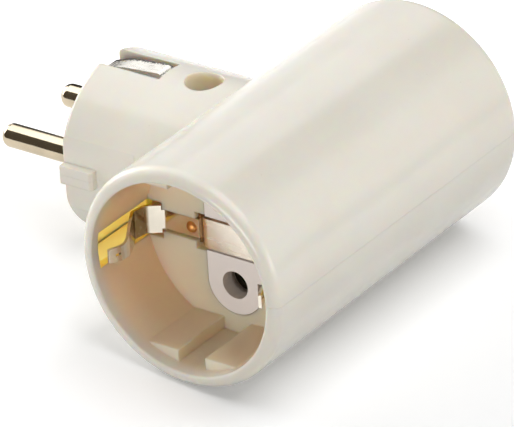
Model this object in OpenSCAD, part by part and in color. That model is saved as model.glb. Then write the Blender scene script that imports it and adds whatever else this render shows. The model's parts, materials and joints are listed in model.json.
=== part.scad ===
// Double socket adapter: a barrel with a round earthed socket in each end,
// and a side stem that ends in a two-pin plug with earth contacts.
// Origin at the centre of the plug's face, +X from the face to the barrel,
// Y along the barrel, Z up across the parting plane of the housing. Millimetres.

/* [Barrel] */
// Outer diameter of the barrel
body_d = 45; // [43:0.5:52]
// Length of the barrel, rim to rim
body_l = 81.5; // [74:0.5:100]
// Wall of the barrel round the recesses
wall = 2.75; // [2.7:0.05:3.4]
// Rounding of the outer rim edge
rim_round = 2.3; // [0.5:0.1:2.3]
// Rounding of the inner lip of the mouth
lip_round = 0.4; // [0.1:0.1:0.4]
// Gap along the parting plane
seam = 0.04; // [0.02:0.02:0.2]

/* [Recess] */
// Depth of the recess, mouth to floor
recess_depth = 17.7; // [16:0.1:20]
// Thickness of the recess floor in front of the carrier's flange
floor_t = 2; // [1.8:0.1:3]
// Thickness of the rib behind the carrier's flange
rib_t = 2; // [1.2:0.1:3]
// Distance from the axis to the flat of a guide block
guide_flat = 17; // [16.5:0.1:18]
// Gap between the two guide blocks of a pair
guide_gap = 6.2; // [5:0.1:9]
// Distance from the mouth back to the guide blocks
guide_setback = 2.9; // [1:0.1:6]
// Width of the pocket behind an earth clip
pocket_w = 7.6; // [7:0.1:10]
// Wall left behind the pocket at the middle of its width
pocket_wall = 1.2; // [0.9:0.1:1.4]
// Distance from the mouth back to the pocket
pocket_setback = 2.2; // [1.5:0.1:5]

/* [Contact carriers] */
// Width of a carrier across its flat sides
carrier_w = 12.2; // [11.8:0.1:13]
// Depth of a carrier behind the recess floor
carrier_depth = 12; // [10:0.5:14]
// How far the flange stands out round the carrier
flange_out = 1.5; // [1:0.1:1.6]
// Thickness of the flange
flange_t = 2; // [1.5:0.1:3]
// Diameter of a pin hole
hole_d = 5.7; // [5.4:0.1:6.2]
// Length of a pin hole before it opens into the sleeve pocket
hole_len = 3; // [2:0.1:4]
// Width of the slot beside a pin hole that shows the contact's wing
notch_w = 0.9; // [0.8:0.1:1]
// Length of that slot
notch_l = 3.4; // [3:0.1:4]

/* [Earth clips and bridges] */
// Thickness of the clip strip
clip_t = 0.6; // [0.4:0.1:0.6]
// Width of the clip's blade at its base
clip_w = 5.8; // [5:0.1:6.4]
// Width of the clip at its tip
clip_tip_w = 3; // [2:0.1:4]
// Width of the clip's foot and of the bridge's end tabs
foot_w = 4; // [3.6:0.1:4.4]
// How far the crest of the clip stands in from the recess wall
clip_crest = 5.1; // [3.5:0.1:6]
// How far the tip of the clip stands in from the recess wall
clip_tip = 3.1; // [2:0.1:4]
// How much nearer the wall the clips on the +X side stand
clip_press = 1.2; // [0:0.1:1.4]
// Distance from the mouth back to the clip's tip
clip_setback = 1.2; // [0.5:0.1:3]
// Distance from the mouth back to the clip's crest
crest_setback = 4.7; // [4:0.1:6]
// How far the start of the clip's bend stands in from the recess wall
clip_bend = 3.65; // [3.4:0.05:4.2]
// Height of the clip's belly above the recess floor
clip_belly = 4.3; // [3.6:0.1:5]
// How far the clip's belly leans out of its bend
clip_lean = 0.6; // [0.3:0.1:1]
// Height of the top of the clip's bend above the recess floor
clip_rise = 1.2; // [0.9:0.1:1.6]
// Length of the blade's taper, back from the crest
clip_taper = 5.5; // [3:0.1:6]
// Bend radius of the clip's crest
crest_bend = 4; // [1.5:0.1:4.5]
// Bend radius of the clip's other folds
clip_fold = 1.2; // [1:0.1:1.4]
// Corner cut of the clip's tip
clip_nip = 0.6; // [0.3:0.1:0.9]
// Length of the small slot in the clip's tip
clip_slot_l = 1.1; // [0.8:0.1:1.4]
// Width of the small slot in the clip's tip
clip_slot_w = 0.5; // [0.4:0.1:0.8]
// Thickness of the bridge strip
bridge_t = 0.8; // [0.6:0.1:1]
// Width of the bridge strip
bridge_w = 6.2; // [5.6:0.1:6.6]
// Bend radius at the top of the bridge's ramps
bridge_bend = 1.6; // [1.2:0.1:1.8]
// Bend radius at the foot of the bridge's ramps
tab_bend = 0.6; // [0.5:0.1:0.8]
// Free room beside the bridge in the carrier's channel
bridge_gap = 0.5; // [0.1:0.1:0.6]
// How far the bridge stands proud of the carrier's face
bridge_proud = 0.1; // [0.05:0.05:0.3]
// Length of the ramp at each end of the bridge
ramp_len = 1.4; // [1.2:0.1:1.6]
// Diameter of a rivet's shank
rivet_d = 1.6; // [1.2:0.1:1.8]
// Diameter of a rivet's head
rivet_head_d = 2.4; // [2.2:0.1:3]
// Height of a rivet's head
rivet_head_h = 0.7; // [0.4:0.1:0.8]
// Diameter of the shank of the rivets behind the floor
inner_rivet_d = 2; // [1.6:0.1:2.2]
// Diameter of the head of the rivets behind the floor
inner_head_d = 3.2; // [2.8:0.1:3.4]

/* [Locating pegs] */
// Diameter of a peg between the half shells
peg_d = 2.4; // [1.6:0.1:2.6]
// Length of a peg
peg_len = 2.6; // [1.5:0.1:4]
// Free room round a peg in its hole
peg_gap = 0.1; // [0.05:0.05:0.2]

/* [Stem] */
// Distance from the plug's face to the barrel's axis
axis_x = 44.3; // [42:0.1:55]
// Diameter of the stem at the plug's face
stem_face_d = 35.6; // [35:0.1:36]
// Diameter of the stem at the barrel's axis
stem_root_d = 35.8; // [35.6:0.1:38]
// Rounding of the edge of the plug's face
face_round = 1; // [0.4:0.1:2]
// Thickness of the plug's face
face_t = 4; // [3:0.1:5]
// Width across the guide flats of the stem
flats_across = 32.2; // [31:0.1:33]
// Length of the guide flats from the face
flats_len = 17; // [14:0.5:19]
// Width of the guide rib in the middle of a flat
rib_w = 3.8; // [3:0.1:4.6]
// Length of the guide rib
rib_len = 7.6; // [6:0.1:12]
// Width across the guide ribs of the stem
rib_across = 35.8; // [34:0.1:36.4]
// Distance from the plug's face back to the guide rib
rib_setback = 0.2; // [0.1:0.1:1]
// Bevel at the inner end of the guide rib
rib_bevel = 0.6; // [0.2:0.1:0.8]
// Width of the channel for an earth contact
channel_w = 6.8; // [6.4:0.1:7.6]
// Distance between the floors of the two channels
channel_across = 29.2; // [28.8:0.1:30.6]
// Side of the hollow inside the stem
hollow_w = 26; // [24:0.1:26.4]
// Height of the hollow inside the stem
hollow_h = 26; // [24:0.1:26.4]

/* [Plug pins] */
// Diameter of a pin
pin_d = 4.8; // [4.6:0.1:5]
// Length of a pin in front of the plug's face
pin_len = 19; // [18:0.1:20]
// Distance between the pins, and between the holes of a socket
pin_gap = 19; // [18.4:0.1:19.6]
// Diameter of a pin's root in the plug's face
root_d = 5.2; // [5.1:0.1:5.6]
// Rounding of a pin's tip
tip_round = 1.7; // [1:0.1:2]
// Diameter of the collar that holds a pin
collar_d = 8; // [7:0.1:9]
// Thickness of the collar
collar_t = 2; // [1.5:0.1:2.5]
// Thickness of the wall behind the collar
collar_wall = 2; // [1.5:0.1:2.5]
// Diameter of the riveted tail of a pin
tail_d = 3; // [2.4:0.1:3.4]
// Diameter of the head of that tail
tail_head_d = 4.4; // [4:0.1:5]
// Height of the head of that tail
tail_head_h = 0.8; // [0.5:0.1:1]

/* [Contacts and bus bars] */
// Thickness of the bus bars and of the earth frame
bus_t = 1; // [0.8:0.1:1]
// Width of a bus bar
bus_w = 6; // [5.4:0.1:6.4]
// Width of the arm from a bus bar to its pin
arm_w = 5.2; // [4.6:0.1:5.6]
// Diameter of the eye on the end of the arm
eye_d = 6.4; // [5.6:0.1:7]
// Distance from the plug's face to the eye on the end of the arm
eye_x = 16.3; // [16:0.1:17]
// Outer diameter of a contact sleeve
sleeve_od = 6.8; // [6.6:0.1:7]
// Bend radius of the bus bars and of the earth frame
bus_bend = 0.8; // [0.6:0.1:1.2]
// Bore of a contact sleeve
sleeve_id = 4.7; // [4.5:0.1:4.8]
// Length of a contact sleeve
sleeve_len = 8; // [6:0.5:9]
// Distance from the end of the pin hole back to the sleeve
sleeve_setback = 1.5; // [0.5:0.1:2]
// Width of the slit along a contact sleeve
slit_w = 1; // [0.6:0.1:1.4]
// Thickness of the tongue
tongue_t = 0.8; // [0.6:0.1:1]
// Width of the tongue
tongue_w = 5.2; // [4.6:0.1:5.6]
// Gap between the tongues of the two sockets at the middle of the barrel
tongue_gap = 1.6; // [0.4:0.1:3]
// Thickness of the plug's earth contacts
contact_t = 0.8; // [0.6:0.1:0.8]
// Width of the plug's earth contacts
contact_w = 4.2; // [3.8:0.1:5]
// Height of the earth contact above the channel floor at the face
contact_low = 0.6; // [0.5:0.1:1]
// Height of the earth contact above the channel floor at its inner end
contact_high = 2.9; // [2.5:0.1:3.1]
// Distance from the face to the inner leg of the upper earth contact
contact_x = 13.9; // [13.5:0.1:14]
// Distance from the face to the tip of an earth contact
contact_tip = 0.3; // [0.1:0.1:0.8]
// Length of the curved lead-in of an earth contact
lead_len = 4.3; // [3.6:0.1:5]
// Rise of the curved lead-in of an earth contact
lead_rise = 1.5; // [1.2:0.1:1.8]
// Bend radius behind the lead-in of an earth contact
lead_bend = 10; // [4:0.5:12]
// Bend radius at the inner end of an earth contact
leg_bend = 0.9; // [0.6:0.1:1.2]
// Height of the rivet through the earth contacts, above the parting plane
contact_rivet_z = 3; // [2.4:0.1:4]

/* [Housing screw] */
// Distance from the plug's face to the screw
screw_x = 22.6; // [22.4:0.1:25]
// Diameter of the screw's thread
screw_d = 3; // [2.5:0.1:3]
// Free room round the screw
screw_gap = 0.2; // [0.1:0.1:0.3]
// Diameter of the screw's head
head_d = 5.6; // [5:0.1:6]
// Height of the screw's head
head_h = 2.2; // [1.8:0.1:3]
// Rounding of the head's edge
head_round = 0.9; // [0.3:0.1:1.2]
// Width of the arms of the cross recess in the head
cross_w = 0.8; // [0.6:0.1:1]
// Length across the cross recess
cross_l = 3.4; // [2.6:0.1:4]
// Depth of the cross recess
cross_depth = 1.1; // [0.6:0.1:1.4]
// Diameter of the access hole above the head
access_d = 7.6; // [7:0.1:7.8]
// Height of the head's seat above the parting plane
head_seat = 8; // [6:0.1:11]
// Diameter of the posts round the screw
post_d = 10; // [9.6:0.1:10]
// Width across the flats of the nut
nut_af = 5.5; // [5:0.1:5.5]
// Thickness of the nut
nut_t = 2.4; // [2:0.1:3]
// Depth of the nut's seat below the parting plane
nut_seat = 10; // [7:0.1:12]

/* [Hidden] */
$fn = 72;

// Running room between pieces that slot into each other
fit = 0.1;
// Overshoot of a cut past the face that it opens
over = 1;
// Segments of a rounded bend in a folded strip
bend_steps = 5;

body_r = body_d / 2;
recess_r = body_r - wall;
floor_y = body_l / 2 - recess_depth;
half_gap = pin_gap / 2;
// The carrier's seat: floor, flange groove and rib, one behind the other
seat_t = floor_t + flange_t + 2 * fit + rib_t;
cavity_y = floor_y - seat_t;
// Levels of the strips that are stacked under an earth rivet, behind the floor's face
tab_y = floor_t - bridge_t;
foot_y = tab_y - clip_t;
// Free room round the clips and bridges in the floor's trench
trench_gap = 0.4;
// Length and depth of the relief in the carrier's channel under the bends of the bridge
relief_len = 1;
relief_depth = 0.3;
// Metal left round a rivet's hole
rivet_edge = 1.2;
// Metal left past the rivet at the end of a contact's leg and of the frame's tab
leg_edge = 2;
// Free room between the earth frame's crossbar and the rivets' tails
frame_gap = 0.7;
// Metal of the earth frame's plate each side of the contacts' width
frame_edge = 1.4;
// Length of the step in the earth frame, and its distance from the crossbar
step_len = 3;
step_gap = 1;
// Free room round a contact's wing in its slot
wing_gap = 0.2;
// Distance from the carrier's face back to a contact's wing
wing_tip = 1;
// Distance from a sleeve's front end back to the bus bar's end
bus_setback = 0.5;
ramp_in = carrier_w / 2 + 2 * fit;
ramp_out = ramp_in + ramp_len;
trench_step = ramp_out + 2 * trench_gap;
pocket_in = recess_r - clip_bend;
shoulder_x = pocket_in + trench_gap;
pocket_out = body_r - pocket_wall;
// The earth frame: clear of the carrier's flange, on the lower screw post and below the rivets' tails
frame_w = rivet_d + 2 * rivet_edge;
rivet_x = carrier_w / 2 + flange_out + 2 * fit + frame_w / 2;
tab_end = rivet_x + frame_w / 2;
peg_x = tab_end + peg_d / 2 + rivet_edge;
frame_x = axis_x - rivet_x;
frame_high = -bus_t / 2;
frame_low = -rivet_head_d / 2 - frame_gap - bus_t / 2;
frame_top = rivet_d / 2 + rivet_edge;
frame_plate_w = contact_w + 2 * frame_edge;
// Sleeves reach from behind the pin holes to the rivets near the barrel's middle, past a plugged-in pin
sleeve_y = hole_len + sleeve_setback;
sleeve_end = sleeve_y + sleeve_len;
tongue_y = floor_y - tongue_gap / 2;
tongue_rivet_y = tongue_y - inner_head_d / 2;
bus_top = half_gap - sleeve_od / 2;
bus_mid = bus_top - bus_t / 2;
bus_reach = floor_y - sleeve_y - bus_setback;
// Where the arm of a bus bar passes behind the carrier
arm_y = floor_y - half_gap - arm_w / 2;
wing_t = notch_w - 2 * wing_gap;
wing_w = notch_l - 2 * wing_gap;
wing_mid = carrier_w / 2 - notch_w / 2;
channel_z = channel_across / 2;
lower_contact_x = contact_x + contact_t;
frame_tab_x = lower_contact_x + contact_t / 2;
cavity_x = face_t + collar_t + collar_wall;

ivory = [0.93, 0.90, 0.83];
carrier_white = [0.90, 0.87, 0.86];
nickel = [0.80, 0.79, 0.76];
tinned = [0.86, 0.82, 0.72];
brass = [0.80, 0.64, 0.32];
copper = [0.72, 0.40, 0.18];
steel = [0.62, 0.62, 0.62];

function unit(v) = v / norm(v);
function turned(v, a) = [v.x * cos(a) - v.y * sin(a), v.x * sin(a) + v.y * cos(a)];

// Arc of radius r that rounds the corner at b on the way from a to c
function corner(a, b, c, r) =
    let (
        u = unit(a - b),
        w = unit(c - b),
        half = acos(u * w) / 2,
        centre = b + unit(u + w) * r / sin(half),
        start = b + u * r / tan(half) - centre,
        side = sign(u.y * w.x - u.x * w.y)
    )
    [for (i = [0 : bend_steps]) centre + turned(start, side * (180 - 2 * half) * i / bend_steps)];

// A path with each inner corner rounded by the radius of the same number
function rounded(p, r) =
    let (last = len(p) - 1)
    [p[0], for (i = [1 : last - 1]) each corner(p[i - 1], p[i], p[i + 1], r[i]), p[last]];

// Point i of a path, moved sideways by s
function beside(p, i, s) =
    let (
        last = len(p) - 1,
        before = unit(p[max(i, 1)] - p[max(i, 1) - 1]),
        after = unit(p[min(i, last - 1) + 1] - p[min(i, last - 1)]),
        along = unit(before + after)
    )
    p[i] + [-along.y, along.x] * s / (along * before);

// Outline of a folded strip of thickness t along a path
function strip(p, t) = concat(
    [for (i = [0 : len(p) - 1]) beside(p, i, t / 2)],
    [for (i = [len(p) - 1 : -1 : 0]) beside(p, i, -t / 2)]
);

// A bar from low to high, both given as corners
module bar(low, high) {
    translate(low) cube(high - low);
}

// A round bar along Y from y0 to y1
module rod_y(r, y0, y1) {
    translate([0, y0, 0]) rotate([-90, 0, 0]) cylinder(h = y1 - y0, r = r);
}

// A stadium along Y from y0 to y1, round ends at the pin holes
module stadium(w, y0, y1) {
    translate([0, y1, 0]) rotate([90, 0, 0]) linear_extrude(y1 - y0) {
        square([w, pin_gap], center = true);
        for (s = [-1, 1]) translate([0, s * half_gap]) circle(d = w);
    }
}

// A folded strip of width w, its path drawn in X and Z
module strip_xz(path, t, w) {
    translate([0, w / 2, 0]) rotate([90, 0, 0]) linear_extrude(w) polygon(strip(path, t));
}

// Places a socket's pieces: origin on the recess floor, -Y out of the mouth
module socket(end) {
    turn = end == "front" ? 0 : 180;
    translate([axis_x, 0, 0]) rotate([0, 0, turn]) translate([0, -floor_y, 0]) children();
}

module both_sockets() {
    for (end = ["front", "rear"]) socket(end) children();
}

// Both sides of a socket, left (-X) and right (+X)
module both_sides() {
    for (a = [0, 180]) rotate([0, a, 0]) children();
}

// Housing, outside
module barrel() {
    translate([axis_x, 0, 0]) rotate([90, 0, 0]) rotate_extrude() {
        inner_r = body_r - rim_round;
        inner_y = body_l / 2 - rim_round;
        translate([0, -inner_y]) square([body_r, 2 * inner_y]);
        translate([0, -body_l / 2]) square([inner_r, body_l]);
        for (s = [-1, 1]) translate([inner_r, s * inner_y]) circle(r = rim_round);
    }
}

module stem_round() {
    face_r = stem_face_d / 2;
    rotate([0, 90, 0]) rotate_extrude() {
        polygon([[0, face_round], [face_r, face_round], [stem_root_d / 2, axis_x], [0, axis_x]]);
        square([face_r - face_round, face_round]);
        translate([face_r - face_round, face_round]) circle(r = face_round);
    }
}

// What the guide flats take off one side of the stem, with a ramp at their end
module guide_cut() {
    out = stem_root_d / 2 + over;
    flat = flats_across / 2;
    translate([0, 0, -stem_root_d / 2]) linear_extrude(stem_root_d)
        polygon([[-over, flat], [flats_len, flat], [flats_len + out - flat, out], [-over, out]]);
}

// Guide rib on one flat of the stem, its inner end bevelled
module guide_rib() {
    root = flats_across / 2 - over;
    out = rib_across / 2;
    translate([0, 0, -rib_w / 2]) linear_extrude(rib_w) polygon([
        [rib_setback, root], [rib_setback, out],
        [rib_len - rib_bevel, out], [rib_len, out - rib_bevel], [rib_len, root],
    ]);
}

// The channel of an earth contact
module channel_cut(leg_x) {
    end_x = leg_x + contact_t / 2 + fit;
    bar([-over, -channel_w / 2, channel_z], [end_x, channel_w / 2, stem_root_d]);
}

module stem() {
    difference() {
        stem_round();
        guide_cut();
        mirror([0, 1, 0]) guide_cut();
        channel_cut(contact_x);
        mirror([0, 0, 1]) channel_cut(lower_contact_x);
    }
    guide_rib();
    mirror([0, 1, 0]) guide_rib();
}

// Housing, inside
module recess_cut() {
    rod_y(recess_r, -recess_depth - over, 0);
    translate([0, -recess_depth, 0]) rotate([-90, 0, 0]) rotate_extrude() difference() {
        square([recess_r + lip_round, lip_round]);
        translate([recess_r + lip_round, lip_round]) circle(r = lip_round);
    }
}

module guide_blocks() {
    intersection() {
        rod_y(recess_r + wall / 2, guide_setback - recess_depth, over);
        for (sx = [-1, 1], sz = [-1, 1]) scale([sx, 1, sz])
            bar([guide_gap / 2, -recess_depth, guide_flat], [body_r, over, body_r]);
    }
}

// Pocket of one clip, with the trench of its foot and of the bridge's end
module clip_pocket() {
    bar([pocket_in, pocket_setback - recess_depth, -pocket_w / 2], [pocket_out, floor_t, pocket_w / 2]);
    narrow = foot_w / 2 + trench_gap;
    wide = bridge_w / 2 + 2 * trench_gap;
    bar([trench_step - fit, -over, -narrow], [pocket_in + fit, floor_t, narrow]);
    bar([0, -over, -wide], [trench_step, floor_t, wide]);
}

// Way through the floor for the earth frame's tab and the rivet's tail
module earth_slot() {
    bar(
        [rivet_x - frame_w / 2 - 2 * fit, floor_t - fit, frame_low - bus_t / 2 - 2 * fit],
        [rivet_x + frame_w / 2 + 2 * fit, seat_t + over, frame_top + 2 * fit]
    );
}

module carrier_seat() {
    stadium(carrier_w + 2 * fit, -over, seat_t + over);
    stadium(carrier_w + 2 * flange_out + 2 * fit, floor_t, floor_t + flange_t + 2 * fit);
}

module socket_cuts() {
    carrier_seat();
    both_sides() clip_pocket();
    for (s = [-1, 1]) scale([s, 1, 1]) earth_slot();
}

module cavity() {
    translate([axis_x, 0, 0]) rod_y(recess_r, -cavity_y, cavity_y);
    intersection() {
        bar(
            [cavity_x, -hollow_w / 2, -hollow_h / 2],
            [axis_x, hollow_w / 2, hollow_h / 2]
        );
        rotate([0, 90, 0]) cylinder(h = axis_x, r = stem_face_d / 2 - wall);
    }
}

module pin_seat() {
    rotate([0, 90, 0]) {
        translate([0, 0, -over]) cylinder(h = face_t + 2 * over, d = root_d + 2 * fit);
        translate([0, 0, face_t]) cylinder(h = collar_t + fit, d = collar_d + 2 * fit);
        translate([0, 0, face_t]) cylinder(h = cavity_x - face_t + over, d = pin_d + 2 * fit);
    }
}

// Slot in the channel's floor for the inner leg of an earth contact
module contact_slot(leg_x) {
    reach = contact_t / 2 + fit;
    bar([leg_x - reach, -contact_w / 2 - fit, 0], [leg_x + reach, contact_w / 2 + fit, channel_z + over]);
}

module screw_posts() {
    difference() {
        translate([screw_x, 0, -hollow_h / 2 - over]) cylinder(h = hollow_h + 2 * over, d = post_d);
        bar([0, -post_d, -bus_t], [axis_x, post_d, 0]);
    }
}

module screw_cuts() {
    grip = nut_seat + head_seat;
    translate([screw_x, 0, -nut_seat]) {
        translate([0, 0, grip]) cylinder(h = stem_root_d, d = access_d);
        translate([0, 0, -over]) cylinder(h = grip + 2 * over, d = screw_d + 2 * screw_gap);
        mirror([0, 0, 1]) cylinder(h = stem_root_d, d = hex_d(nut_af + 2 * fit), $fn = 6);
    }
}

// Diameter over the corners of a hexagon with the width af across its flats
function hex_d(af) = af / cos(30);

module housing() {
    difference() {
        union() {
            difference() {
                union() {
                    barrel();
                    stem();
                }
                cavity();
                both_sockets() recess_cut();
            }
            both_sockets() guide_blocks();
            screw_posts();
        }
        both_sockets() socket_cuts();
        for (s = [-1, 1]) translate([0, s * half_gap, 0]) pin_seat();
        contact_slot(contact_x);
        mirror([0, 0, 1]) contact_slot(lower_contact_x);
        screw_cuts();
    }
}

// The part of the housing on one side of the parting plane
module half_housing(s) {
    span = 2 * (body_l + axis_x);
    intersection() {
        housing();
        translate([0, 0, s * (span + seam) / 2]) cube(span, center = true);
    }
}

// Pegs of diameter d down to low, in the solid walls behind the recess floors
module pegs(d, low) {
    both_sockets() for (s = [-1, 1]) translate([s * peg_x, (floor_t + seat_t) / 2, low])
        cylinder(h = seam - low, d = d);
}

module upper_housing() {
    color(ivory) {
        half_housing(1);
        pegs(peg_d, -peg_len);
    }
}

module lower_housing() {
    color(ivory) difference() {
        half_housing(-1);
        pegs(peg_d + 2 * peg_gap, -peg_len - 2 * peg_gap);
    }
}

// Contact carrier in its socket's frame
module carrier() {
    channel_depth = bridge_t - bridge_proud + fit / 2;
    channel = bridge_w / 2 + bridge_gap;
    color(carrier_white) difference() {
        union() {
            stadium(carrier_w, 0, carrier_depth);
            stadium(carrier_w + 2 * flange_out, floor_t + fit, floor_t + fit + flange_t);
        }
        bar([-carrier_w, -over, -channel], [carrier_w, channel_depth, channel]);
        both_sides() {
            bar(
                [-carrier_w, 0, -channel],
                [relief_len - carrier_w / 2, channel_depth + relief_depth, channel]
            );
            translate([0, 0, half_gap]) {
                rod_y(hole_d / 2, -over, hole_len + over);
                rod_y(sleeve_od / 2 + fit, hole_len, carrier_depth + over);
                bar(
                    [-carrier_w / 2 - over, -over, -notch_l / 2],
                    [notch_w - carrier_w / 2, floor_t, notch_l / 2]
                );
                bar(
                    [-wing_mid - wing_t / 2 - fit, floor_t - fit, -notch_l / 2],
                    [-wing_mid + wing_t / 2 + fit, carrier_depth + over, notch_l / 2]
                );
                bar(
                    [-wing_mid, sleeve_y + sleeve_len / 2 - fit, -notch_l / 2],
                    [0, carrier_depth + over, notch_l / 2]
                );
            }
            bar(
                [-bus_w / 2 - fit, sleeve_y - 2 * fit, bus_top - bus_t - fit],
                [bus_w / 2 + fit, carrier_depth + over, half_gap]
            );
            bar([-carrier_w, arm_y - fit, bus_top - bus_t - fit], [0, carrier_depth + over, bus_top + fit]);
        }
    }
}

// Earth bridge across a carrier's face, its ends stepped down to the rivets
module earth_bridge() {
    face = bridge_t / 2 - bridge_proud;
    low = tab_y + bridge_t / 2;
    path = [
        [-tab_end, low], [-ramp_out, low], [-ramp_in, face],
        [ramp_in, face], [ramp_out, low], [tab_end, low],
    ];
    bends = [0, tab_bend, bridge_bend, bridge_bend, tab_bend, 0];
    color(tinned) difference() {
        intersection() {
            translate([0, 0, -bridge_w / 2]) linear_extrude(bridge_w)
                polygon(strip(rounded(path, bends), bridge_t));
            union() {
                bar([-trench_step, -over, -bridge_w / 2], [trench_step, floor_t, bridge_w / 2]);
                bar([-tab_end, -over, -foot_w / 2], [tab_end, floor_t, foot_w / 2]);
            }
        }
        for (s = [-1, 1]) translate([s * rivet_x, 0, 0]) rod_y(rivet_d / 2 + fit / 2, -over, floor_t + over);
    }
}

// Earth clip on the left (-X) side of its socket: foot, bend in the pocket, and blade,
// which stands nearer the wall by press
module earth_clip(press) {
    foot = -foot_y - clip_t / 2;
    outer_x = recess_r + fit;
    crest_v = recess_depth - crest_setback;
    tip_v = recess_depth - clip_setback;
    path = [
        [ramp_out + trench_gap, foot], [recess_r - clip_bend, foot],
        [outer_x - clip_lean, clip_rise], [outer_x, clip_belly],
        [recess_r - clip_crest + press + clip_t / 2, crest_v], [recess_r - clip_tip + press, tip_v],
    ];
    bends = [0, clip_fold, clip_fold, clip_fold, crest_bend, 0];
    base = clip_w / 2;
    tip = clip_tip_w / 2;
    side = [
        [0, base], [clip_taper - crest_v, base], [-crest_v, tip],
        [clip_nip - tip_v, tip], [-recess_depth, tip - clip_nip],
    ];
    color(nickel) difference() {
        intersection() {
            translate([0, 0, -base]) linear_extrude(clip_w)
                polygon([for (p = strip(rounded(path, bends), clip_t)) [-p.x, -p.y]]);
            union() {
                bar([-shoulder_x, -over, -foot_w / 2], [0, floor_t, foot_w / 2]);
                bar([-pocket_out, 0, -base], [-shoulder_x, floor_t, base]);
                translate([-pocket_out, 0, 0]) rotate([90, 0, 90]) linear_extrude(pocket_out)
                    polygon(concat(side, [for (i = [len(side) - 1 : -1 : 0]) [side[i].x, -side[i].y]]));
            }
        }
        translate([-rivet_x, 0, 0]) rod_y(rivet_d / 2 + fit / 2, -over, floor_t + over);
        translate([-recess_r, (crest_setback + clip_setback) / 2 - recess_depth, 0])
            cube([recess_r, clip_slot_l, clip_slot_w], center = true);
    }
}

// Domed head of a rivet, flat side down at the origin
module dome(d, h) {
    r = (d * d / 4 + h * h) / (2 * h);
    rotate_extrude() intersection() {
        translate([0, h - r]) circle(r = r);
        square([d / 2, h]);
    }
}

// Rivet along Z from its domed head down to the closed head on the far side
module rivet(d, head, grip) {
    dome(head, rivet_head_h);
    translate([0, 0, -grip - rivet_head_h / 2]) cylinder(h = grip + rivet_head_h, d = d);
    translate([0, 0, -grip]) mirror([0, 0, 1]) dome(head, rivet_head_h);
}

// Rivet along Y through the clip's foot, the bridge's tab and, where it is there, the frame's tab
module earth_rivet(back_y) {
    translate([0, foot_y, 0]) rotate([90, 0, 0]) rivet(rivet_d, rivet_head_d, back_y - foot_y);
}

module earth_rivets() {
    tab_back = floor_t + bus_t;
    color(copper) {
        socket("front") translate([-rivet_x, 0, 0]) earth_rivet(tab_back);
        socket("front") translate([rivet_x, 0, 0]) earth_rivet(floor_t);
        socket("rear") translate([-rivet_x, 0, 0]) earth_rivet(floor_t);
        socket("rear") translate([rivet_x, 0, 0]) earth_rivet(tab_back);
    }
}

// Earth frame: tab at the plug's contacts, plate between the screw posts, crossbar with a tab at each socket
module earth_frame() {
    tab_top = contact_rivet_z + leg_edge;
    bar_end = floor_y - floor_t - bus_t / 2;
    low_x = frame_x - frame_w / 2;
    stem_path = [
        [frame_tab_x + bus_t / 2, tab_top], [frame_tab_x + bus_t / 2, frame_high],
        [low_x - step_gap - step_len, frame_high], [low_x - step_gap, frame_low],
        [frame_x + frame_w / 2, frame_low],
    ];
    bar_path = [[-bar_end, frame_top], [-bar_end, frame_low], [bar_end, frame_low], [bar_end, frame_top]];
    color(tinned) difference() {
        union() {
            strip_xz(rounded(stem_path, [0, bus_bend, bus_bend, bus_bend, 0]), bus_t, frame_plate_w);
            translate([low_x, 0, 0]) rotate([90, 0, 90]) linear_extrude(frame_w)
                polygon(strip(rounded(bar_path, [0, bus_bend, bus_bend, 0]), bus_t));
        }
        translate([screw_x, 0, -bus_t - over])
            cylinder(h = bus_t + 2 * over, d = screw_d + 2 * (screw_gap + fit));
        translate([0, 0, contact_rivet_z]) rotate([0, 90, 0])
            cylinder(h = screw_x, d = inner_rivet_d + fit);
        translate([frame_x, 0, 0]) rod_y(rivet_d / 2 + fit / 2, -body_l / 2, body_l / 2);
    }
}

// Earth contact of the plug: ramp in the channel, inner leg down to the frame's tab
module plug_contact(leg_x, leg_end) {
    path = [
        [contact_tip, channel_z + contact_low],
        [contact_tip + lead_len, channel_z + contact_low + lead_rise],
        [leg_x, channel_z + contact_high], [leg_x, leg_end],
    ];
    color(nickel) difference() {
        strip_xz(rounded(path, [0, lead_bend, leg_bend, 0]), contact_t, contact_w);
        rotate([0, 90, 0]) children();
    }
}

module upper_plug_contact() {
    plug_contact(contact_x, contact_rivet_z - leg_edge)
        translate([-contact_rivet_z, 0, 0]) cylinder(h = screw_x, d = inner_rivet_d + fit);
}

module lower_plug_contact() {
    mirror([0, 0, 1]) plug_contact(lower_contact_x, -contact_rivet_z - leg_edge)
        translate([contact_rivet_z, 0, 0]) cylinder(h = screw_x, d = inner_rivet_d + fit);
}

// Rivet along X through both plug contacts and the frame's tab
module contact_rivet() {
    front_x = contact_x - contact_t / 2;
    color(copper) translate([front_x, 0, contact_rivet_z]) rotate([0, -90, 0])
        rivet(inner_rivet_d, rivet_head_d, frame_tab_x + bus_t - front_x);
}

// Plug pin along X: rounded tip, collar behind the face, riveted tail through the eye
module plug_pin() {
    color(nickel) rotate([0, 90, 0]) rotate_extrude() {
        translate([0, tip_round - pin_len]) square([pin_d / 2, pin_len - tip_round + eye_x]);
        translate([0, -pin_len]) square([pin_d / 2 - tip_round, tip_round + over]);
        intersection() {
            translate([pin_d / 2 - tip_round, tip_round - pin_len]) circle(r = tip_round);
            translate([0, -pin_len]) square(pin_len);
        }
        square([root_d / 2, face_t + over]);
        translate([0, face_t]) square([collar_d / 2, collar_t]);
        square([tail_d / 2, eye_x + bus_t + tail_head_h]);
        translate([0, eye_x + bus_t]) square([tail_head_d / 2, tail_head_h]);
    }
}

module line_pin() {
    translate([0, -half_gap, 0]) plug_pin();
}

module neutral_pin() {
    translate([0, half_gap, 0]) plug_pin();
}

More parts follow.
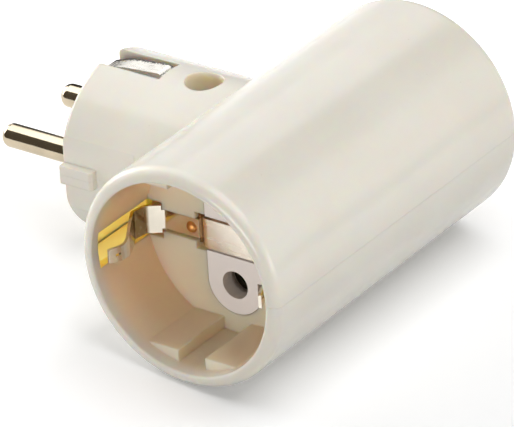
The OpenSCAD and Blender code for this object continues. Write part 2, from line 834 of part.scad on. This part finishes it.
// Bus bar: bar under the sleeves of both sockets, arm along the stem, eye on the pin's tail
module line_bus() {
    eye_mid = eye_x + bus_t / 2;
    path = [[eye_mid, 0], [eye_mid, bus_mid], [axis_x, bus_mid]];
    color(brass) difference() {
        union() {
            bar(
                [axis_x - bus_w / 2, -bus_reach, bus_mid - bus_t / 2],
                [axis_x + bus_w / 2, bus_reach, bus_mid + bus_t / 2]
            );
            translate([0, -half_gap, 0]) {
                strip_xz(rounded(path, [0, bus_bend, 0]), bus_t, arm_w);
                translate([eye_x, 0, 0]) rotate([0, 90, 0]) cylinder(h = bus_t, d = eye_d);
            }
        }
        translate([0, -half_gap, 0]) rotate([0, 90, 0]) cylinder(h = eye_x + bus_t + over, d = tail_d + fit);
        both_sockets() translate([0, tongue_rivet_y, 0]) cylinder(h = half_gap, d = inner_rivet_d + fit);
    }
}

module neutral_bus() {
    rotate([180, 0, 0]) line_bus();
}

// Contact sleeve of the upper hole in its socket's frame: slit tube, side wing and riveted tongue
module sleeve() {
    color(brass) difference() {
        union() {
            translate([0, 0, half_gap]) {
                rod_y(sleeve_od / 2, sleeve_y, sleeve_end);
                bar(
                    [-wing_mid - wing_t / 2, wing_tip, -wing_w / 2],
                    [-wing_mid + wing_t / 2, sleeve_end, wing_w / 2]
                );
                bar([-wing_mid, sleeve_y + sleeve_len / 2, -wing_w / 2], [0, sleeve_end, wing_w / 2]);
            }
            bar([-tongue_w / 2, sleeve_y, bus_top], [tongue_w / 2, tongue_y, bus_top + tongue_t]);
        }
        translate([0, 0, half_gap]) {
            rod_y(sleeve_id / 2, 0, sleeve_end + over);
            bar([-slit_w / 2, 0, 0], [slit_w / 2, sleeve_end + over, sleeve_od]);
        }
        translate([0, tongue_rivet_y, 0]) cylinder(h = half_gap, d = inner_rivet_d + fit);
    }
}

// Rivet along Z through the tongue of a sleeve and its bus bar
module sleeve_rivet() {
    color(copper) translate([0, tongue_rivet_y, bus_top + tongue_t])
        rivet(inner_rivet_d, inner_head_d, bus_t + tongue_t);
}

// The upper hole is the line's, and the lower one the neutral's
module as_neutral() {
    rotate([0, 180, 0]) children();
}

module sleeve_rivets() {
    both_sockets() both_sides() sleeve_rivet();
}

// Pan-head screw with a cross recess
module housing_screw() {
    r = head_d / 2;
    color(steel) translate([screw_x, 0, 0]) difference() {
        union() {
            translate([0, 0, head_seat]) rotate_extrude() {
                square([r, head_h - head_round]);
                square([r - head_round, head_h]);
                translate([r - head_round, head_h - head_round]) circle(r = head_round);
            }
            translate([0, 0, -nut_seat - nut_t])
                cylinder(h = nut_seat + nut_t + head_seat + over, d = screw_d);
        }
        for (a = [0, 90]) rotate([0, 0, a]) translate([0, 0, head_seat + head_h])
            cube([cross_l, cross_w, 2 * cross_depth], center = true);
    }
}

// Hexagon nut with its outer corners turned off
module housing_nut() {
    corner_r = hex_d(nut_af) / 2;
    bevel = corner_r - nut_af / 2;
    color(steel) translate([screw_x, 0, -nut_seat - nut_t]) difference() {
        intersection() {
            cylinder(h = nut_t, d = hex_d(nut_af), $fn = 6);
            cylinder(h = corner_r + nut_t, r1 = corner_r - bevel, r2 = 2 * corner_r + nut_t - bevel);
        }
        translate([0, 0, -over]) cylinder(h = nut_t + 2 * over, d = screw_d + fit);
    }
}

upper_housing();
lower_housing();
socket("front") carrier();  // front_carrier
socket("rear") carrier();  // rear_carrier
socket("front") earth_bridge();  // front_earth_bridge
socket("rear") earth_bridge();  // rear_earth_bridge
socket("front") earth_clip(0);  // front_left_clip
socket("front") rotate([0, 180, 0]) earth_clip(clip_press);  // front_right_clip
socket("rear") rotate([0, 180, 0]) earth_clip(0);  // rear_left_clip
socket("rear") earth_clip(clip_press);  // rear_right_clip
earth_rivets();
earth_frame();
upper_plug_contact();
lower_plug_contact();
contact_rivet();
line_pin();
neutral_pin();
line_bus();
neutral_bus();
socket("front") sleeve();  // front_line_sleeve
socket("rear") sleeve();  // rear_line_sleeve
socket("front") as_neutral() sleeve();  // front_neutral_sleeve
socket("rear") as_neutral() sleeve();  // rear_neutral_sleeve
sleeve_rivets();
housing_screw();
housing_nut();
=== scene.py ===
# Looks of the double socket adapter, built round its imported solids. All lengths are in metres.
import json
import math

import bpy
from mathutils import Matrix, Vector


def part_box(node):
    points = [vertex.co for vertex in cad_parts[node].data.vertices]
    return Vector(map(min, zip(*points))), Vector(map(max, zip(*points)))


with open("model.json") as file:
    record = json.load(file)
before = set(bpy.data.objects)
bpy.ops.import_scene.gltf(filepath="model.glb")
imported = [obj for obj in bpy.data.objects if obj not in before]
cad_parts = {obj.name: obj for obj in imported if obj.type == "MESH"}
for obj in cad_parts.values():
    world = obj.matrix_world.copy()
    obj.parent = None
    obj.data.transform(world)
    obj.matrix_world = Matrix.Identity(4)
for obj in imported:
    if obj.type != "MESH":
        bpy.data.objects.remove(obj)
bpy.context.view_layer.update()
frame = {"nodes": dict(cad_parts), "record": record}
nodes = frame["nodes"]
scene = bpy.context.scene

# Camera fitted to the photograph: image width and focal length in pixels, angles in degrees
IMAGE_W = 514
FOCAL_PX = 6080.4
SENSOR_MM = 36.0
AZIMUTH, ELEVATION, ROLL = 36.76, 28.46, -3.47
DISTANCE = 1.15016
SHIFT_RIGHT, SHIFT_UP = -0.00866, -0.00453
CLIP_START, CLIP_END = 0.05, 20.0

# The barrel, from the frame: its axis and radius, and how far a socket's mouth lies from its middle
mounts = {mount["name"]: mount for mount in frame["record"]["mounts"]}
housing_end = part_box("upper_housing")[1]
AXIS_X = mounts["front_line_hole"]["pos_m"][0]
BODY_R = housing_end.x - AXIS_X
MOUTH_Y = housing_end.y
MIDDLE = Vector((AXIS_X, 0, 0))
# Radius of the recesses, and of the furthest corners of the clip pockets in their walls
RECESS_R = BODY_R - 0.00275
POCKET_R = BODY_R - 0.0009
# Place and radius of the screw's access hole
SCREW_X, ACCESS_R = 0.0226, 0.0038


def add_camera():
    a, e, r = (math.radians(v) for v in (AZIMUTH, ELEVATION, ROLL))
    back = Vector((math.sin(a) * math.cos(e), -math.cos(a) * math.cos(e), math.sin(e)))
    flat_right = Vector((math.cos(a), math.sin(a), 0.0))
    flat_up = back.cross(flat_right)
    right = flat_right * math.cos(r) + flat_up * math.sin(r)
    up = back.cross(right)
    eye = MIDDLE + back * DISTANCE + right * SHIFT_RIGHT + up * SHIFT_UP
    data = bpy.data.cameras.new("camera")
    data.sensor_fit = "HORIZONTAL"
    data.sensor_width = SENSOR_MM
    data.lens = FOCAL_PX / IMAGE_W * SENSOR_MM
    data.clip_start, data.clip_end = CLIP_START, CLIP_END
    camera = bpy.data.objects.new("camera", data)
    camera.matrix_world = Matrix.Translation(eye) @ Matrix((right, up, back)).transposed().to_4x4()
    scene.collection.objects.link(camera)
    scene.camera = camera


class Nodes:
    """Short calls to build one material's node tree."""

    # Sockets of a Mix node that blends vectors
    VECTOR_A, VECTOR_B, VECTOR_RESULT = 4, 5, 1

    def __init__(self, name):
        self.material = bpy.data.materials.new(name)
        self.material.use_nodes = True
        self.tree = self.material.node_tree
        self.tree.nodes.clear()
        self.out = self.add("ShaderNodeOutputMaterial")

    def add(self, kind, **values):
        node = self.tree.nodes.new(kind)
        for key, value in values.items():
            setattr(node, key, value)
        return node

    def link(self, a, b):
        self.tree.links.new(a, b)

    def put(self, socket, value):
        if hasattr(value, "links"):
            self.link(value, socket)
        else:
            socket.default_value = value

    def geometry(self, output):
        return self.add("ShaderNodeNewGeometry").outputs[output]

    def split(self, vector):
        node = self.add("ShaderNodeSeparateXYZ")
        self.link(vector, node.inputs[0])
        return node.outputs

    def axes(self):
        return self.split(self.geometry("Position"))

    def math(self, operation, a, b=0.0, c=0.0):
        node = self.add("ShaderNodeMath", operation=operation)
        for socket, value in zip(node.inputs, (a, b, c)):
            self.put(socket, value)
        return node.outputs[0]

    def product(self, first, *others):
        for other in others:
            first = self.math("MULTIPLY", first, other)
        return first

    def length(self, a, b):
        return self.math("SQRT", self.math("ADD", self.product(a, a), self.product(b, b)))

    def ramp(self, value, low, high, to_low=0.0, to_high=1.0):
        node = self.add("ShaderNodeMapRange", interpolation_type="SMOOTHSTEP")
        for socket, item in zip(node.inputs, (value, low, high, to_low, to_high)):
            self.put(socket, item)
        return node.outputs["Result"]

    def fade(self, value, low, high):
        return self.ramp(value, low, high, 1.0, 0.0)

    def mix(self, factor, a, b):
        node = self.add("ShaderNodeMix", data_type="RGBA")
        self.put(node.inputs["Factor"], factor)
        self.put(node.inputs["A"], a)
        self.put(node.inputs["B"], b)
        return node.outputs["Result"]

    def noise(self, scale, detail=3.0, roughness=0.55, stretch=None):
        node = self.add("ShaderNodeTexNoise")
        place = self.geometry("Position")
        if stretch is not None:
            mapping = self.add("ShaderNodeMapping")
            mapping.inputs["Scale"].default_value = stretch
            self.link(place, mapping.inputs["Vector"])
            place = mapping.outputs["Vector"]
        self.link(place, node.inputs["Vector"])
        node.inputs["Scale"].default_value = scale
        node.inputs["Detail"].default_value = detail
        node.inputs["Roughness"].default_value = roughness
        return node.outputs["Fac"]

    def edge(self, radius, where=None):
        """Normal that rounds the edges, everywhere or only where the factor is 1."""
        node = self.add("ShaderNodeBevel", samples=4)
        node.inputs["Radius"].default_value = radius
        if where is None:
            return node.outputs["Normal"]
        blend = self.add("ShaderNodeMix", data_type="VECTOR")
        self.link(where, blend.inputs["Factor"])
        self.link(self.geometry("Normal"), blend.inputs[self.VECTOR_A])
        self.link(node.outputs["Normal"], blend.inputs[self.VECTOR_B])
        return blend.outputs[self.VECTOR_RESULT]

    def bump(self, height, strength, distance, normal):
        node = self.add("ShaderNodeBump")
        node.inputs["Strength"].default_value = strength
        node.inputs["Distance"].default_value = distance
        self.link(height, node.inputs["Height"])
        self.link(normal, node.inputs["Normal"])
        return node.outputs["Normal"]

    def principled(self, **values):
        node = self.add("ShaderNodeBsdfPrincipled")
        for key, value in values.items():
            self.put(node.inputs[key.replace("_", " ")], value)
        self.link(node.outputs["BSDF"], self.out.inputs["Surface"])


# Where most values of a noise texture lie
NOISE_SPAN = (0.3, 0.7)

# Ivory plastic of the housing, with flow marks and a few dark specks
IVORY = (0.775, 0.74, 0.655, 1)
IVORY_PALE = (0.795, 0.762, 0.682, 1)
SPECK = (0.45, 0.36, 0.25, 1)
# Painted glow: warmer colours of the same plastic, standing in for the light that reaches it mostly through
# the wall in the recesses, access hole and clip pockets
IVORY_PAINTED_GLOW = (0.86, 0.715, 0.53, 1)
BORE_PAINTED_GLOW = (0.93, 0.82, 0.68, 1)
# Painted amber glow of the thin pocket walls
POCKET_PAINTED_GLOW = (1.0, 0.71, 0.31, 1)
# How far light reaches into it: outside, more in the deep places, and more in the pockets
REACH, DEEP_REACH, POCKET_REACH = 0.0012, 0.0050, 0.020
# Shares of that reach for red, green and blue light
SPREAD = (1.0, 0.6, 0.3, 1)
POCKET_SPREAD = (1.0, 0.40, 0.19, 1)
PLASTIC_IOR = 1.5


def ivory_plastic():
    """Glossy moulded ivory plastic that lets light through its walls, with a deeper tone painted inside the
    recesses, access hole and clip pockets as a glow of light through the walls.
    """
    m = Nodes("ivory_plastic")
    x, y, z = m.axes()
    radius = m.length(m.math("SUBTRACT", x, AXIS_X), z)
    bore = m.length(m.math("SUBTRACT", x, SCREW_X), y)
    depth = m.math("ABSOLUTE", y)
    height = m.math("ABSOLUTE", z)
    # Soft borders just past the walls, at the recess's lip and at the pocket's end near the mouth
    recess_border = (RECESS_R + 0.0001, RECESS_R + 0.0003)
    pocket_border = (POCKET_R + 0.0001, POCKET_R + 0.0004)
    access_border = (ACCESS_R + 0.00005, ACCESS_R + 0.0002)
    lip_border = (MOUTH_Y - 0.0045, MOUTH_Y - 0.0004)
    end_border = (MOUTH_Y - 0.0024, MOUTH_Y - 0.0020)
    recess = m.product(m.fade(radius, *recess_border), m.fade(depth, *lip_border))
    pocket = m.product(m.ramp(radius, *recess_border), m.fade(radius, *pocket_border),
                       m.fade(depth, *end_border))
    access = m.fade(bore, *access_border)
    deep = m.math("MAXIMUM", recess, access)
    flow = m.ramp(m.noise(scale=45), 0.35, 0.65)
    speck = m.ramp(m.noise(scale=1300, detail=2, roughness=0.5), 0.76, 0.80, to_high=0.35)
    outside = m.mix(speck, m.mix(flow, IVORY, IVORY_PALE), SPECK)
    # Painted glow inside the recesses, lighter in the access hole
    inside = m.mix(access, IVORY_PAINTED_GLOW, BORE_PAINTED_GLOW)
    # The pockets take the painted amber glow
    colour = m.mix(pocket, m.mix(deep, outside, inside), POCKET_PAINTED_GLOW)
    # Beside the parting plane the light stays near the surface, so the joint is a hairline
    off_joint = m.ramp(height, 0.0002, 0.0022, to_low=0.05)
    reach = m.product(m.math("MULTIPLY_ADD", deep, DEEP_REACH, REACH), off_joint)
    reach = m.math("MULTIPLY_ADD", pocket, POCKET_REACH, reach)
    # The edges along the joint stay sharp
    rounded = m.edge(radius=0.0005, where=m.ramp(height, 0.0006, 0.0014))
    m.principled(Base_Color=colour, IOR=PLASTIC_IOR,
                 Roughness=m.ramp(m.noise(scale=260, detail=4), *NOISE_SPAN, 0.19, 0.25),
                 Normal=m.bump(m.noise(scale=330, detail=2), strength=0.03, distance=0.0001, normal=rounded),
                 Subsurface_Weight=m.math("MULTIPLY_ADD", pocket, 0.25, 0.75),
                 Subsurface_Radius=m.mix(pocket, SPREAD, POCKET_SPREAD), Subsurface_Scale=reach)
    return m.material


CARRIER = (0.94, 0.88, 0.85, 1)
CARRIER_PALE = (0.97, 0.91, 0.88, 1)


def carrier_plastic():
    """Satin white moulding, a little pink beside the ivory."""
    m = Nodes("carrier_plastic")
    colour = m.mix(m.ramp(m.noise(scale=90), *NOISE_SPAN), CARRIER, CARRIER_PALE)
    rounded = m.edge(radius=0.0002)
    m.principled(Base_Color=colour, IOR=PLASTIC_IOR,
                 Roughness=m.ramp(m.noise(scale=800), *NOISE_SPAN, 0.38, 0.48),
                 Normal=m.bump(m.noise(scale=900), strength=0.04, distance=0.0001, normal=rounded))
    return m.material


# Metals: grain drawn out along X, darker share of their slow changes of tone, depth of grain, broken edges
GRAIN_STRETCH = (0.15, 1.0, 1.0)
DARK_SHARE = 0.86
GRAIN_DEPTH = 0.00005
METAL_EDGE = 0.00008


def metal(name, colour, rough, scratch=1400, grain_height=0.03, painted_dark=None, painted_dark_colour=None):
    """Plated or plain metal with fine grain and slow changes of tone, with painted shade and painted dark
    reflections laid on where the given mask says so.
    """
    m = Nodes(name)
    grain = m.noise(scale=scratch, detail=4, roughness=0.6, stretch=GRAIN_STRETCH)
    tone = m.ramp(m.noise(scale=180, detail=4), *NOISE_SPAN)
    dark = tuple(v * DARK_SHARE for v in colour[:3]) + (1,)
    shade = m.mix(tone, dark, colour)
    if painted_dark is not None:
        shade = m.mix(painted_dark(m), shade, painted_dark_colour)
    m.principled(Base_Color=shade, Metallic=1.0, Roughness=m.ramp(grain, *NOISE_SPAN, *rough),
                 Normal=m.bump(grain, grain_height, GRAIN_DEPTH, m.edge(METAL_EDGE)))
    return m.material


def in_pocket(m):
    """Part of an earth clip that lies in its pocket, darkened in spots with painted shade."""
    pocket_border = (0.0184, 0.0188)
    off_axis = m.math("ABSOLUTE", m.math("SUBTRACT", m.axes()[0], AXIS_X))
    spots = m.ramp(m.noise(scale=900), 0.25, 0.55, to_low=0.6)
    return m.product(m.ramp(off_axis, *pocket_border), spots)


def on_steps(m):
    """Slopes, edges and sunk ends of an earth bridge, painted brown as shade."""
    level_border = (0.75, 0.97)
    sunk_border = (0.0221, 0.0225)
    slope = m.fade(m.math("ABSOLUTE", m.split(m.geometry("Normal"))[1]), *level_border)
    sunk = m.fade(m.math("ABSOLUTE", m.axes()[1]), *sunk_border)
    return m.math("MAXIMUM", slope, sunk)


def along_edge(m):
    """Far edge of a plug contact, painted dark and grainy as a dark reflection, with a ragged border."""
    border = (0.0022, 0.0027)
    ragged_by, slant = 0.0030, -0.06
    x, y, _ = m.axes()
    ragged = m.math("MULTIPLY_ADD", m.noise(scale=2200, roughness=0.6), ragged_by, y)
    return m.ramp(m.math("MULTIPLY_ADD", x, slant, ragged), *border)


NICKEL = (0.86, 0.80, 0.68, 1)
# Brown laid on the earth clips in their pockets: painted shade
CLIP_PAINTED_SHADE = (0.34, 0.25, 0.15, 1)
TIN = (0.95, 0.88, 0.76, 1)
# Brass darkened almost to black: painted shade for parts that lie deep inside the housing
BRASS_PAINTED_SHADE = (0.08, 0.065, 0.035, 1)
COPPER = (0.66, 0.31, 0.10, 1)
ZINC = (0.62, 0.62, 0.63, 1)
PIN_NICKEL = (0.60, 0.51, 0.37, 1)
CONTACT_NICKEL = (0.90, 0.87, 0.80, 1)
# Dark laid on the plug contacts' far edges: painted dark reflection
CONTACT_PAINTED_REFLECTION = (0.05, 0.045, 0.04, 1)
BRIDGE_TIN = (0.97, 0.90, 0.79, 1)
# Brown laid on the bridges' slopes and sunk ends: painted shade
BRIDGE_PAINTED_SHADE = (0.36, 0.22, 0.12, 1)

MATERIALS = {
    "housing": ivory_plastic(),
    "carrier": carrier_plastic(),
    "nickel": metal("bright_nickel", NICKEL, (0.10, 0.17), painted_dark=in_pocket, painted_dark_colour=CLIP_PAINTED_SHADE),
    "tinned": metal("tinned_strip", TIN, (0.20, 0.28), scratch=500),
    "brass": metal("stamped_brass", BRASS_PAINTED_SHADE, (0.3, 0.45)),
    "copper": metal("copper_rivet", COPPER, (0.3, 0.45)),
    "steel": metal("zinc_steel", ZINC, (0.3, 0.42)),
}
# Pins, plug contacts and bridges have finishes of their own, found by the last word of the node's name
BY_NODE = {
    "pin": metal("pin_nickel", PIN_NICKEL, (0.08, 0.16), grain_height=0.2),
    "contact": metal("contact_nickel", CONTACT_NICKEL, (0.22, 0.40), scratch=2600, grain_height=0.6,
                     painted_dark=along_edge, painted_dark_colour=CONTACT_PAINTED_REFLECTION),
    "bridge": metal("bridge_tin", BRIDGE_TIN, (0.20, 0.28), scratch=500,
                    painted_dark=on_steps, painted_dark_colour=BRIDGE_PAINTED_SHADE),
}


def dress_nodes():
    for row in frame["record"]["subparts"]:
        data = nodes[row["node"]].data
        data.materials.clear()
        kind = row["node"].rsplit("_", 1)[-1]
        data.materials.append(BY_NODE.get(kind, MATERIALS[row["material_slot"]]))


# The floor touches the barrel's underside and the lower edge of the plug's face
FLOOR_TILT = math.radians(6.4)
FLOOR_HALF = 3.0
FLOOR_WHITE = (0.98, 0.98, 0.98, 1)
# What the floor throws back at the object is duller
FLOOR_BOUNCE = (0.50, 0.50, 0.50, 1)


def add_plane(name, corners):
    mesh = bpy.data.meshes.new(name)
    mesh.from_pydata(corners, [], [(0, 1, 2, 3)])
    plane = bpy.data.objects.new(name, mesh)
    scene.collection.objects.link(plane)
    return plane


def pale_floor():
    """White floor that keeps the object's shadow, with a faint glow for the camera and for reflections,
    painted stronger where it lifts that shadow.
    """
    m = Nodes("pale_floor")
    diffuse = m.add("ShaderNodeBsdfDiffuse")
    glow = m.add("ShaderNodeEmission")
    path = m.add("ShaderNodeLightPath")
    m.link(m.mix(path.outputs["Is Diffuse Ray"], FLOOR_WHITE, FLOOR_BOUNCE), diffuse.inputs["Color"])
    mirrored = m.math("MAXIMUM", path.outputs["Is Glossy Ray"], path.outputs["Is Transmission Ray"])
    seen = m.math("MAXIMUM", path.outputs["Is Camera Ray"], mirrored)
    # Painted light: the glow grows away from the barrel and towards the pins, lifting the shadow there
    x, y, _ = m.axes()
    far = m.length(m.math("SUBTRACT", x, AXIS_X), y)
    around = m.ramp(far, 0.045, 0.11, to_low=0.12, to_high=0.22)
    by_pins = m.ramp(x, 0.0, 0.055, to_low=0.15, to_high=0.0)
    m.link(m.product(seen, m.math("ADD", around, by_pins)), glow.inputs["Strength"])
    both = m.add("ShaderNodeAddShader")
    m.link(diffuse.outputs[0], both.inputs[0])
    m.link(glow.outputs[0], both.inputs[1])
    m.link(both.outputs[0], m.out.inputs["Surface"])
    return m.material


def add_floor():
    h = FLOOR_HALF
    floor = add_plane("floor", [(-h, -h, 0), (h, -h, 0), (h, h, 0), (-h, h, 0)])
    normal = Vector((math.sin(FLOOR_TILT), 0, math.cos(FLOOR_TILT)))
    place = Matrix.Translation(MIDDLE - normal * BODY_R)
    floor.matrix_world = place @ Matrix.Rotation(FLOOR_TILT, 4, "Y")
    floor.data.materials.append(pale_floor())


def add_card(name, corners, colour, glow=0.0):
    """Flat card that is seen in reflections only."""
    card = add_plane(name, corners)
    for ray in ("camera", "diffuse", "shadow", "transmission"):
        setattr(card, "visible_" + ray, False)
    m = Nodes(name)
    m.principled(Base_Color=colour, Roughness=0.9, Emission_Color=(1, 1, 1, 1), Emission_Strength=glow)
    card.data.materials.append(m.material)


def upright(start, end, low, high):
    """Corners of a card that stands on the line from start to end."""
    return [(*start, low), (*end, low), (*end, high), (*start, high)]


def level(start, end, height):
    """Corners of a level card between two opposite corners."""
    (x0, y0), (x1, y1) = start, end
    return [(x0, y0, height), (x1, y0, height), (x1, y1, height), (x0, y1, height)]


def add_cards():
    """Dark cards close behind the pins and in front of them at the left, and a white one above."""
    behind_pins = upright((-0.0445, 0.0229), (-0.0233, 0.0387), low=-0.02, high=0.022)
    before_pins = upright((0.067, -0.167), (-0.126, -0.041), low=-0.03, high=0.125)
    overhead = level((-0.66, -0.28), (0.0, 0.95), height=0.61)
    add_card("back_card", behind_pins, colour=(0.05, 0.04, 0.03, 1))
    add_card("black_card", before_pins, colour=(0.12, 0.10, 0.075, 1))
    add_card("white_card", overhead, colour=(0.8, 0.8, 0.8, 1), glow=1.45)


# Soft boxes: name, centre from the barrel's middle, where it faces, width, height, radiance
SOFT_BOXES = (
    ("above", (0.35, 0.12, 0.75), (0, 0, -1), 0.70, 0.86, 3.0),
    ("right", (0.80, 0.10, 0.12), (-1, -0.1, -0.1), 0.70, 0.26, 3.6),
    ("right_back", (0.70, 1.00, 0.43), (-1, 0, 0), 1.20, 0.86, 0.9),
    ("front", (0.05, -1.00, 0.10), (0, 1, -0.05), 0.60, 0.24, 8.8),
    ("left", (-0.80, -0.04, 0.28), (1, 0, -0.25), 0.80, 0.60, 4.2),
    ("left_low", (-0.80, -0.04, 0.14), (1, 0, -0.05), 0.80, 0.30, 1.5),
    ("left_back", (-0.75, 0.50, 0.30), (0.8, -0.5, -0.25), 0.80, 0.50, 0.9),
)
WORLD_STRENGTH = 0.02


def add_soft_box(name, centre, aim, width, height, radiance):
    """Rectangular soft light, as bright as a white surface of that radiance."""
    data = bpy.data.lights.new(name, "AREA")
    data.shape = "RECTANGLE"
    data.size, data.size_y = width, height
    data.energy = radiance * math.pi * width * height
    lamp = bpy.data.objects.new(name, data)
    lamp.visible_camera = False
    turn = Vector(aim).to_track_quat("-Z", "Y").to_matrix().to_4x4()
    lamp.matrix_world = Matrix.Translation(Vector(centre) + MIDDLE) @ turn
    scene.collection.objects.link(lamp)


def add_light():
    world = bpy.data.worlds.new("studio")
    world.use_nodes = True
    background = world.node_tree.nodes["Background"]
    background.inputs["Color"].default_value = (1.0, 1.0, 1.0, 1)
    background.inputs["Strength"].default_value = WORLD_STRENGTH
    scene.world = world
    for soft_box in SOFT_BOXES:
        add_soft_box(*soft_box)
    add_cards()


add_camera()
dress_nodes()
add_floor()
add_light()
scene.view_settings.view_transform = "Standard"
